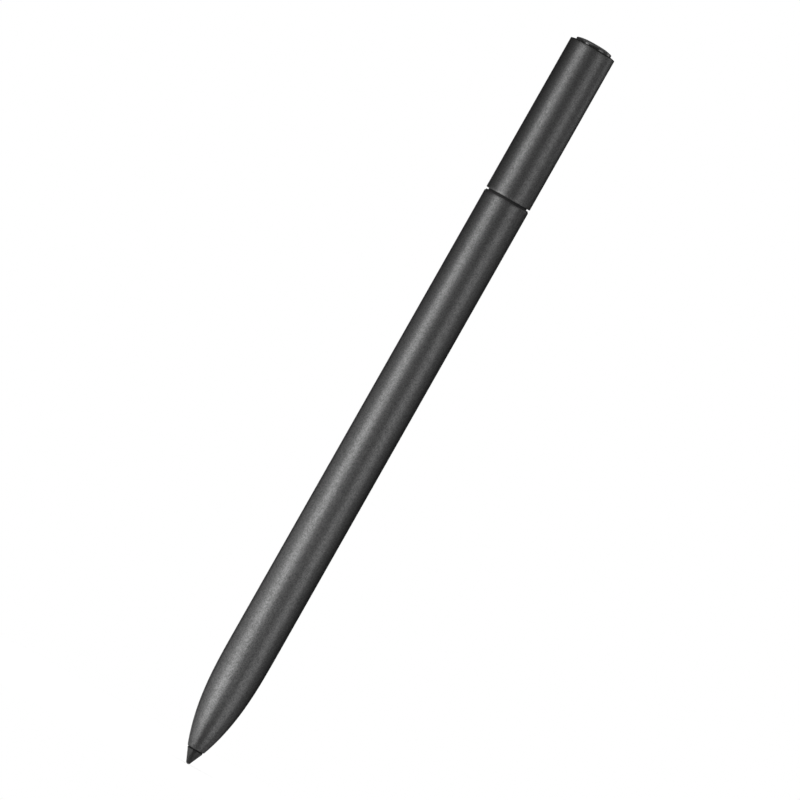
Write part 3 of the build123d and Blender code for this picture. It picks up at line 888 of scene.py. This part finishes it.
contact_bottom = PORT_MIDDLE - (CONTACT_COUNT - 1) * CONTACT_PITCH / 2
contacts = block(
    "socket_contacts",
    (tongue_side - CONTACT_SINK, TONGUE_TIP + CONTACT_START, contact_bottom - CONTACT_WIDTH / 2),
    (tongue_side + CONTACT_PROUD, TONGUE_TIP + CONTACT_END, contact_bottom + CONTACT_WIDTH / 2),
)
bpy.ops.object.mode_set(mode="EDIT")
round_edges(contacts, on_face, CONTACT_ROUND, HIDDEN_STEPS)
bpy.ops.mesh.select_all(action="SELECT")
for copy in range(CONTACT_COUNT - 1):
    bpy.ops.mesh.duplicate_move(TRANSFORM_OT_translate={"value": (0, 0, CONTACT_PITCH * MM)})
bpy.ops.mesh.select_all(action="SELECT")
bpy.ops.mesh.duplicate()
bpy.ops.transform.rotate(value=pi, orient_axis="Y", center_override=(0, 0, PORT_MIDDLE * MM))
bpy.ops.object.mode_set(mode="OBJECT")
hand_over(contacts, "barrel", "brass", gold)

# %% [markdown]
# ## The seal
# A rubber ring sits in the stem's groove, keeps dust out of the socket and holds the cap by friction. It is
# a torus whose inner side is pressed flat against the groove's floor.

# %% Model the seal
SEAL_OUTER = 4.03
SEAL_SECTION = 0.25
SEAL_PRESS = 0.012
SEAL_STEPS = 20

clear_bench()
bpy.ops.mesh.primitive_torus_add(
    major_segments=TURN_STEPS,
    minor_segments=SEAL_STEPS,
    major_radius=(SEAL_OUTER - SEAL_SECTION) * MM,
    minor_radius=SEAL_SECTION * MM,
    location=(0, 0, SEAL_HEIGHT * MM),
)
seal = start_piece("seal_ring")
bpy.ops.object.mode_set(mode="EDIT")
seal_inner = SEAL_OUTER - 2 * SEAL_SECTION
flat = seal_inner + SEAL_PRESS
pick(seal, "VERT", lambda corner: hypot(corner.co.x, corner.co.y) / MM < flat)
press = flat / seal_inner
bpy.ops.transform.resize(value=(press, press, 1), center_override=(0, 0, SEAL_HEIGHT * MM))
bpy.ops.object.mode_set(mode="OBJECT")
hand_over(seal, "barrel", "silicone", rubber, "cap_seal")

# %% [markdown]
# ## The cap and the end button
# The cap is a metal sleeve with a turned-in rim, and the button is a glossy disc with a flat dome that
# stands a little out of that rim. Each edge has its own round: a soft one round the cap's end, small ones
# where the parts meet, and a clear one on the button, because that is where the light draws a line.

# %% Turn the cap's sleeve
CAP_BOTTOM = BARREL_END + GROOVE_WIDTH
CAP_TOP = 156.96
CAP_SHOULDER = 156.74
CAP_BORE = 4.32
CAP_ROUND = 0.08
SHOULDER_ROUND = 0.12
RIM_BOTTOM = 156.18
RIM_RADIUS = 3.85
RIM_ROUND = 0.1

cap = turn("cap_shell", [
    (CAP_BORE, CAP_BOTTOM),
    (BODY_RADIUS, CAP_BOTTOM),
    (BODY_RADIUS, CAP_BOTTOM + HOLD),
    (BODY_RADIUS, CAP_SHOULDER - HOLD),
    (BODY_RADIUS, CAP_SHOULDER),
    (RIM_RADIUS, CAP_TOP),
    (RIM_RADIUS, RIM_BOTTOM),
    (CAP_BORE, RIM_BOTTOM),
    (CAP_BORE, CAP_BOTTOM + HOLD),
])
round_rings(cap, [
    (BODY_RADIUS, CAP_BOTTOM, CAP_ROUND, CLEAR_STEPS),
    (CAP_BORE, CAP_BOTTOM, CAP_ROUND, HIDDEN_STEPS),
    (BODY_RADIUS, CAP_SHOULDER, SHOULDER_ROUND, BOLD_STEPS),
    (RIM_RADIUS, CAP_TOP, RIM_ROUND, SMALL_STEPS),
])
hand_over(cap, "cap", "anodised_aluminium", metal, "cap_sleeve")

# %% Turn the end button
BUTTON_RADIUS = 3.75
BUTTON_TOP = 157.8
BUTTON_DOME = 0.42
BUTTON_BAND = 0.2
BUTTON_ROUND = 0.12
DOME_STEPS = 12
DOME_FULLNESS = 3.2
BUTTON_CEILING = 156.8
BUTTON_SKIRT = 3.2
PLUNGER_RADIUS = 0.8
PLUNGER_BOTTOM = 154.34
PLUNGER_ROUND = 0.15
FLANGE_BOTTOM = 155.44
FLANGE_TOP = 156.14
FLANGE_RADIUS = 4.2

button_edge = BUTTON_TOP - BUTTON_DOME
shares = [step / DOME_STEPS for step in range(DOME_STEPS, -1, -1)]
drops = [(share * BUTTON_RADIUS, share ** DOME_FULLNESS * BUTTON_DOME) for share in shares]
button = turn("push_button", [
    (PLUNGER_RADIUS, PLUNGER_BOTTOM),
    (PLUNGER_RADIUS, BUTTON_CEILING),
    (BUTTON_SKIRT, BUTTON_CEILING),
    (BUTTON_SKIRT, FLANGE_BOTTOM),
    (FLANGE_RADIUS, FLANGE_BOTTOM),
    (FLANGE_RADIUS, FLANGE_TOP),
    (BUTTON_RADIUS, FLANGE_TOP),
    (BUTTON_RADIUS, button_edge - BUTTON_BAND),
] + [(radius, BUTTON_TOP - drop) for radius, drop in drops], solid=True)
round_rings(button, [
    (BUTTON_RADIUS, button_edge, BUTTON_ROUND, BOLD_STEPS),
    (PLUNGER_RADIUS, PLUNGER_BOTTOM, PLUNGER_ROUND, SMALL_STEPS),
])
hand_over(button, "end_button", "button_plastic", button_black, "end_button")

# %% [markdown]
# ## The springs
# Under each side key and under the end button lies a snap dome, a stamped disc of spring steel that clicks
# when it is pressed flat. A conical washer pushes the button back, and a soft pad passes the nib's push on
# to the sensor. One dome is turned and copied to its three places.

# %% Turn a snap dome and copy it
SNAP_RADIUS = 1.5
SNAP_HEIGHT = 0.3
SNAP_CROWN = 0.68
SNAP_SHEET = 0.08
SNAP_ROUND = 0.2


def copy_piece(piece, name):
    """Copy a piece with a mesh of its own, and take the copy."""
    take(piece)
    bpy.ops.object.duplicate()
    copy = bpy.context.active_object
    copy.name = name
    copy.data.name = name
    return copy


def shift(piece, step):
    """Move all of a piece's corners by a step in metres, so that the piece's own origin stays put."""
    take(piece)
    bpy.ops.object.mode_set(mode="EDIT")
    bpy.ops.mesh.select_all(action="SELECT")
    bpy.ops.transform.translate(value=step)
    bpy.ops.object.mode_set(mode="OBJECT")


end_dome = turn("end_snap_dome", [
    (SNAP_CROWN, SNAP_HEIGHT - SNAP_SHEET),
    (SNAP_RADIUS - 2 * SNAP_SHEET, 0),
    (SNAP_RADIUS, 0),
    (SNAP_CROWN, SNAP_HEIGHT),
    (0, SNAP_HEIGHT),
], solid=True)
round_rings(end_dome, [(SNAP_CROWN, SNAP_HEIGHT, SNAP_ROUND, CLEAR_STEPS)])

front_dome = copy_piece(end_dome, "front_snap_dome")
bpy.ops.object.mode_set(mode="EDIT")
bpy.ops.mesh.select_all(action="SELECT")
bpy.ops.transform.rotate(value=pi / 2, orient_axis="X", center_override=(0, 0, 0))
bpy.ops.object.mode_set(mode="OBJECT")
rear_dome = copy_piece(front_dome, "rear_snap_dome")
print("snap domes:", end_dome.name, front_dome.name, rear_dome.name)

# %% Put the snap domes in their places
for dome, node, joint in (
    (front_dome, "front_key_dome", "front_key_press"),
    (rear_dome, "rear_key_dome", "rear_key_press"),
):
    low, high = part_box(node)
    shift(dome, (0, low.y, (low.z + high.z) / 2))
    hand_over(dome, "barrel", "steel", steel, node)
    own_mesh(dome)
    print(dome.name, "stands on y", round(low.y / MM, 3))

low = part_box("end_switch_dome")[0]
shift(end_dome, (0, 0, low.z))
hand_over(end_dome, "barrel", "steel", steel, "end_switch_dome")
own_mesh(end_dome)

# %% Turn the button's washer and the nib's pad
WASHER_BAND = 0.25
WASHER_REACH = 0.88
PAD_FOOT_ROUND = 0.06
PAD_TOP_ROUND = 0.2

low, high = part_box("button_spring")
foot = high.x / MM
washer = turn("return_washer", [
    (foot, low.z / MM),
    (foot - WASHER_REACH + WASHER_BAND, high.z / MM),
    (foot - WASHER_REACH, high.z / MM),
    (foot - WASHER_BAND, low.z / MM),
])
hand_over(washer, "cap", "steel", steel, "button_spring")
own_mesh(washer)

low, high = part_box("pressure_pad")
pad_radius = high.x / MM
pad = turn("soft_pad", [(pad_radius, low.z / MM), (pad_radius, high.z / MM), (0, high.z / MM)], solid=True)
round_rings(pad, [
    (pad_radius, low.z / MM, PAD_FOOT_ROUND, HIDDEN_STEPS),
    (pad_radius, high.z / MM, PAD_TOP_ROUND, CLEAR_STEPS),
])
hand_over(pad, "nib", "silicone", rubber, "pressure_pad")
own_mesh(pad)

# %% [markdown]
# ## What is inside
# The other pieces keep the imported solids, whose shapes are right, and get finishes. The carriers are moulded
# plastic with faint flow lines, the nib's holder and the tilt ring are turned brass, the cell's bumper is
# foam with pores, and the sensor is sealed in resin. Each finish is made from patterns in the pen's own
# coordinates, so it stays put when the piece moves.

# %% Plastic, brass, foam and resin
PORE = 0.28


def moulded_plastic():
    material, look = new_finish("moulded_plastic")
    place = look.place()
    spark = look.noise(place, size=0.2 * MM, detail=3.0, rough=0.65)
    flow = look.noise(look.stretched(place, (1.0, 1.0, 0.15)), size=1.6 * MM, detail=2.0)
    base = look.mix(0.5 * spark + 0.5 * flow, grey(0.03), grey(0.075))
    normal = look.bump(spark, depth=0.008 * MM, strength=0.6)
    look.shade({"Base Color": base, "Roughness": 0.45 + spark * 0.25, "Normal": normal})
    return material


def turned_brass():
    material, look = new_finish("turned_brass")
    place = look.place()
    rings = look.noise(look.stretched(place, (0.02, 0.02, 1.0)), size=0.07 * MM, detail=2.0)
    stain = look.noise(place, size=0.9 * MM, detail=3.0)
    base = look.mix(0.6 * rings + 0.4 * stain, (0.56, 0.36, 0.13, 1.0), (0.86, 0.64, 0.33, 1.0))
    rough = 0.2 + rings * 0.2
    normal = look.bump(rings, depth=0.006 * MM)
    look.shade({"Base Color": base, "Metallic": 1.0, "Roughness": rough, "Normal": normal})
    return material


def pored_foam():
    material, look = new_finish("pored_foam")
    place = look.place()
    pore = look.cells(place, PORE * MM)
    wall = look.cells(place, PORE * MM, "DISTANCE_TO_EDGE")
    base = look.mix(pore * 1.4, grey(0.02), grey(0.09))
    look.shade({"Base Color": base, "Roughness": 0.9, "Normal": look.bump(wall, depth=0.08 * MM)})
    return material


def sealed_resin():
    material, look = new_finish("sealed_resin")
    place = look.place()
    grain = look.noise(place, size=0.1 * MM, detail=4.0, rough=0.7)
    base = look.mix(grain, grey(0.018), grey(0.05))
    normal = look.bump(grain, depth=0.005 * MM, strength=0.6)
    look.shade({"Base Color": base, "Roughness": 0.4 + grain * 0.3, "Normal": normal})
    return material


inside_finishes = {
    "inner_plastic": moulded_plastic(),
    "brass": turned_brass(),
    "silicone": rubber,
    "foam": pored_foam(),
    "sensor_body": sealed_resin(),
    "steel": steel,
}
print("finishes inside so far:", len(inside_finishes))

# %% [markdown]
# ## Ribbons, boards and the cell
# The ribbons are copper tracks under an amber film, the boards are woven glass under a green mask with
# plated holes, and the cell is a bright can in a blue sleeve. Tracks could be painted into a picture, but
# stripes that are folded out of the coordinates stay sharp at any distance.

# %% Finishes of the electric pieces
RIBBON_TRACK = 0.11
RIBBON_EDGE_LOW = 0.045
RIBBON_EDGE_HIGH = 0.06
BOARD_TRACK = 0.2
BOARD_GAP = 0.11
BARE_SHARE = 0.35
HOLE_PITCH = 0.9
HOLE_SHARE = 0.14
SLEEVE_BOTTOM = 75.5
SLEEVE_TOP = 107.5


def tracked_ribbon():
    material, look = new_finish("tracked_ribbon")
    place = look.place()
    stripe = look.zigzag(look.along(place, "X"), RIBBON_TRACK * MM)
    track = look.ramp(stripe, RIBBON_EDGE_LOW * MM, RIBBON_EDGE_HIGH * MM)
    film = look.noise(place, size=0.8 * MM, detail=3.0)
    amber = look.mix(film, (0.30, 0.12, 0.015, 1.0), (0.46, 0.2, 0.03, 1.0))
    look.shade({
        "Base Color": look.mix(track * 0.75, amber, (0.66, 0.36, 0.17, 1.0)),
        "Roughness": 0.25 + film * 0.15,
        "Normal": look.bump(track, depth=0.012 * MM),
        "Coat Weight": 0.2,
    })
    return material


def masked_board():
    material, look = new_finish("masked_board")
    place = look.place()
    stripe = look.zigzag(look.along(place, "X"), BOARD_TRACK * MM)
    fields = look.cells(look.stretched(place, (1.0, 0.0, 0.35)), size=1.4 * MM, output="Color")
    routed = (stripe > BOARD_GAP * MM) * (look.along(fields, "X") > BARE_SHARE)
    hole = look.cells(place, HOLE_PITCH * MM) < HOLE_SHARE
    weave = look.noise(place, size=0.15 * MM, detail=3.0)
    base = look.mix(weave, (0.006, 0.06, 0.024, 1.0), (0.012, 0.09, 0.038, 1.0))
    base = look.mix(routed * 0.8, base, (0.03, 0.17, 0.07, 1.0))
    look.shade({
        "Base Color": look.mix(hole, base, (0.7, 0.5, 0.22, 1.0)),
        "Metallic": hole,
        "Roughness": 0.32 + weave * 0.15,
        "Normal": look.bump(routed + hole, depth=0.02 * MM, strength=0.6),
    })
    return material


def wrapped_cell():
    material, look = new_finish("wrapped_cell")
    place = look.place()
    height = look.along(place, "Z")
    crinkle = look.noise(look.stretched(place, (1.0, 1.0, 0.3)), size=1.1 * MM, detail=4.0, rough=0.6)
    fine = look.noise(place, size=0.15 * MM, detail=2.0)
    sleeve = (height > SLEEVE_BOTTOM * MM) * (height < SLEEVE_TOP * MM)
    film = look.mix(crinkle, (0.02, 0.06, 0.16, 1.0), (0.035, 0.1, 0.24, 1.0))
    can = look.mix(fine, grey(0.5), grey(0.7))
    look.shade({
        "Base Color": look.mix(sleeve, can, film),
        "Metallic": 1.0 - sleeve,
        "Roughness": 0.26 + crinkle * 0.2,
        "Normal": look.bump(crinkle, depth=0.03 * MM, strength=0.5),
    })
    return material


inside_finishes["ribbon"] = tracked_ribbon()
inside_finishes["circuit_board"] = masked_board()
inside_finishes["cell_can"] = wrapped_cell()
print("finishes inside:", len(inside_finishes))

# %% [markdown]
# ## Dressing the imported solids
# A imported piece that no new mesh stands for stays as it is, and only its material is exchanged. The record
# says which kind of material each piece has, so one loop dresses them all.

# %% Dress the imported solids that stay
dressed = 0
for part in frame["record"]["subparts"]:
    solid = frame["nodes"][part["node"]]
    if not solid.hide_render:
        for place in solid.material_slots:
            place.material = inside_finishes[part["material_slot"]]
        dressed += 1
print("packed solids that stay:", dressed)

# %% [markdown]
# ## World and floor
# The portrait is on pure white. So the world is white to the camera and to mirror-like rays and a little
# dimmer to the rest, and the floor is a pale disc that takes a soft shadow and turns white towards its rim,
# where it has to melt into the background. Mixing in a white glow does that without a visible edge.

# %% Light the world
ROOM_LEVEL = 0.9

scene = bpy.context.scene
scene.view_settings.view_transform = "Standard"
world = bpy.data.worlds.new("white_room")
scene.world = world
world.use_nodes = True
room = Finish(world.node_tree)


def seen_directly(finish):
    """One for rays from the camera and for rays off gloss or through glass, else none."""
    camera = finish.node("ShaderNodeLightPath", {}, {}, "Is Camera Ray")
    gloss = finish.node("ShaderNodeLightPath", {}, {}, "Is Glossy Ray")
    glass = finish.node("ShaderNodeLightPath", {}, {}, "Is Transmission Ray")
    return camera | gloss | glass


level = seen_directly(room) * (1.0 - ROOM_LEVEL) + ROOM_LEVEL
sky = room.node("ShaderNodeBackground", {}, {"Color": grey(1.0), "Strength": level}, "Background")
room.node("ShaderNodeOutputWorld", {}, {"Surface": sky})
print("world:", world.name)

# %% Lay the floor
FLOOR_RADIUS = 0.16
FLOOR_STEPS = 128
FLOOR_GLOW = 0.75
GLOW_START_SHARE = 0.2
GLOW_END_SHARE = 0.95


def pale_floor():
    material, look = new_finish("pale_floor")
    dull = look.node("ShaderNodeBsdfDiffuse", {}, {"Color": grey(0.95)}, "BSDF")
    white = look.node("ShaderNodeEmission", {}, {"Color": grey(1.0), "Strength": 1.0}, "Emission")
    away = look.node("ShaderNodeVectorMath", {"operation": "LENGTH"}, {0: look.place()}, "Value")
    glow_start = FLOOR_RADIUS * GLOW_START_SHARE
    glow_end = FLOOR_RADIUS * GLOW_END_SHARE
    share = seen_directly(look) * look.ramp(away, glow_start, glow_end, FLOOR_GLOW, 1.0)
    both = look.node("ShaderNodeMixShader", {}, {0: share, 1: dull, 2: white}, "Shader")
    look.node("ShaderNodeOutputMaterial", {}, {"Surface": both})
    return material


clear_bench()
bpy.ops.mesh.primitive_circle_add(vertices=FLOOR_STEPS, radius=FLOOR_RADIUS, fill_type="NGON")
floor = start_piece("studio_floor")
floor.data.materials.append(pale_floor())
floor.visible_glossy = False
print("floor:", floor.name)

# %% [markdown]
# ## Curtain, canopy and cards
# Dark metal shows whatever stands round it, so a dark curtain, which the camera looks through, hangs round
# the bench as in a studio, with a dark canopy on top. Six plain cards stand inside it, because a single
# light would leave most of the metal black. The left and the edge card light the pen's left side, the front
# card lifts the middle, and the low, side and right cards light the right side of nose, barrel and cap.

# %% Hang the curtain and the canopy
CURTAIN_RADIUS = 0.62
CURTAIN_LOW = -0.75
CURTAIN_HIGH = 0.6
CURTAIN_STEPS = 96
CURTAIN_GLOW = 0.09
CANOPY_GLOW = 0.1


def put_up(piece, finish_name, brightness):
    """Give a piece of the studio one brightness from every side, and let the camera look through it."""
    material, look = new_finish(finish_name)
    cloth = look.node("ShaderNodeEmission", {}, {"Color": grey(1.0), "Strength": brightness}, "Emission")
    look.node("ShaderNodeOutputMaterial", {}, {"Surface": cloth})
    piece.data.materials.append(material)
    piece.visible_camera = False


clear_bench()
bpy.ops.mesh.primitive_cylinder_add(
    vertices=CURTAIN_STEPS,
    radius=CURTAIN_RADIUS,
    depth=CURTAIN_HIGH - CURTAIN_LOW,
    end_fill_type="NOTHING",
    location=(0, 0, (CURTAIN_LOW + CURTAIN_HIGH) / 2),
)
curtain = start_piece("studio_curtain")
put_up(curtain, "dark_cloth", CURTAIN_GLOW)

clear_bench()
bpy.ops.mesh.primitive_circle_add(
    vertices=CURTAIN_STEPS,
    radius=CURTAIN_RADIUS,
    fill_type="NGON",
    location=(0, 0, CURTAIN_HIGH),
)
canopy = start_piece("studio_canopy")
put_up(canopy, "canopy_cloth", CANOPY_GLOW)
canopy.visible_diffuse = False
canopy.visible_shadow = False
print("put up:", curtain.name, canopy.name)

# %% Stand the cards
def card(name, azimuth, distance, width, low, high, brightness):
    """An upright card that faces the pen. Azimuth 0 is the camera's side, and plus is on its right."""
    clear_bench()
    turn_by = radians(azimuth)
    place = (distance * sin(turn_by), -distance * cos(turn_by), (low + high) / 2)
    bpy.ops.mesh.primitive_plane_add(size=1.0, location=place, rotation=(pi / 2, 0, turn_by))
    bpy.context.active_object.scale = (width, high - low, 1.0)
    put_up(start_piece(name), name, brightness)
    print(name, "at", azimuth, "degrees")


card("left_card", azimuth=-109, distance=0.30, width=0.29, low=-0.25, high=0.08, brightness=1.0)
card("edge_card", azimuth=-74, distance=0.30, width=0.10, low=-0.30, high=0.06, brightness=2.0)
card("front_card", azimuth=0, distance=0.26, width=0.14, low=-0.10, high=0.075, brightness=0.85)
card("low_card", azimuth=118, distance=0.40, width=0.40, low=-0.50, high=-0.08, brightness=0.6)
card("side_card", azimuth=94, distance=0.45, width=0.30, low=-0.08, high=0.35, brightness=0.27)
card("right_card", azimuth=115, distance=0.13, width=0.055, low=0.138, high=0.22, brightness=1.1)

# %% [markdown]
# ## The softboxes
# The bright band left of the pen's middle and the fainter one on the right are softboxes, mirrored in a
# round metal. A cylinder turns a mirrored ray by twice the angle of its face, so a band at 22 degrees round
# the barrel wants its box at about 45 degrees round the room. The key box leans, so its band runs a little
# slantwise, and the upper box carries it on to the cap. The ceiling box lights the button, the back box the
# far side, and the top box, which is kept out of the metal, the floor.

# %% Set up the softboxes
AIM = Vector((0, 0, 0.08))
ROOM_DISTANCE = 0.55
WATTS_PER_AREA = 4


def softbox(name, azimuth, distance, width, height, brightness, rise, lean=0.0):
    """A softbox that faces the pen. Azimuth and lean are in degrees, and azimuth 0 is the camera's side."""
    clear_bench()
    turn_by = radians(azimuth)
    away = Vector((sin(turn_by), -cos(turn_by), 0)) * distance + Vector((0, 0, rise))
    bpy.ops.object.light_add(type="AREA", location=AIM + away)
    lamp = bpy.context.active_object
    lamp.name = name
    towards_pen = (-away).to_track_quat("-Z", "Y")
    lamp.rotation_euler = (towards_pen @ Quaternion((0, 0, 1), radians(lean))).to_euler()
    lamp.data.shape = "RECTANGLE"
    lamp.data.size = width
    lamp.data.size_y = height
    lamp.data.energy = brightness * WATTS_PER_AREA * width * height
    lamp.visible_camera = False
    print(name, "watts:", round(lamp.data.energy, 2))
    return lamp


softbox("key_softbox", -45, ROOM_DISTANCE, width=0.44, height=0.47, brightness=2.95, rise=-0.14, lean=-24)
softbox("upper_softbox", -42, ROOM_DISTANCE, width=0.34, height=0.28, brightness=0.7, rise=0.30)
softbox("fill_softbox", 50, ROOM_DISTANCE, width=0.46, height=0.66, brightness=0.97, rise=-0.12)
softbox("ceiling_softbox", -45, distance=0.20, width=0.30, height=0.30, brightness=1.2, rise=0.45)
softbox("back_softbox", 190, ROOM_DISTANCE, width=0.42, height=0.62, brightness=3.0, rise=-0.25)
top = softbox("top_softbox", 0, distance=0.02, width=0.55, height=0.55, brightness=2.2, rise=0.5)
top.visible_glossy = False

# %% [markdown]
# ## The camera
# The portrait was taken from far away, so that the pen's seams are straight lines. The camera looks along +Y
# with a very long lens and rolls, so that the upright pen leans to the right in the picture. Roll, scale and
# aim come from the pen's outline in an 800 by 800 picture.

# %% Place the camera
PICTURE = 800
PIXELS_PER_METRE = 5242.7
LEAN = radians(29.56)
DISTANCE = 3.0
AIM_ACROSS = 1.04 * MM
AIM_UP = 80.38 * MM
SENSOR_WIDTH = 36.0

clear_bench()
bpy.ops.object.camera_add()
camera = bpy.context.active_object
camera.name = "portrait_camera"
facing = Matrix.Rotation(pi / 2, 4, "X") @ Matrix.Rotation(LEAN, 4, "Z")
camera.matrix_world = Matrix.Translation((AIM_ACROSS, -DISTANCE, AIM_UP)) @ facing
camera.data.sensor_width = SENSOR_WIDTH
camera.data.lens = SENSOR_WIDTH * DISTANCE * PIXELS_PER_METRE / PICTURE
scene.camera = camera
print("lens:", round(camera.data.lens, 1), "mm")
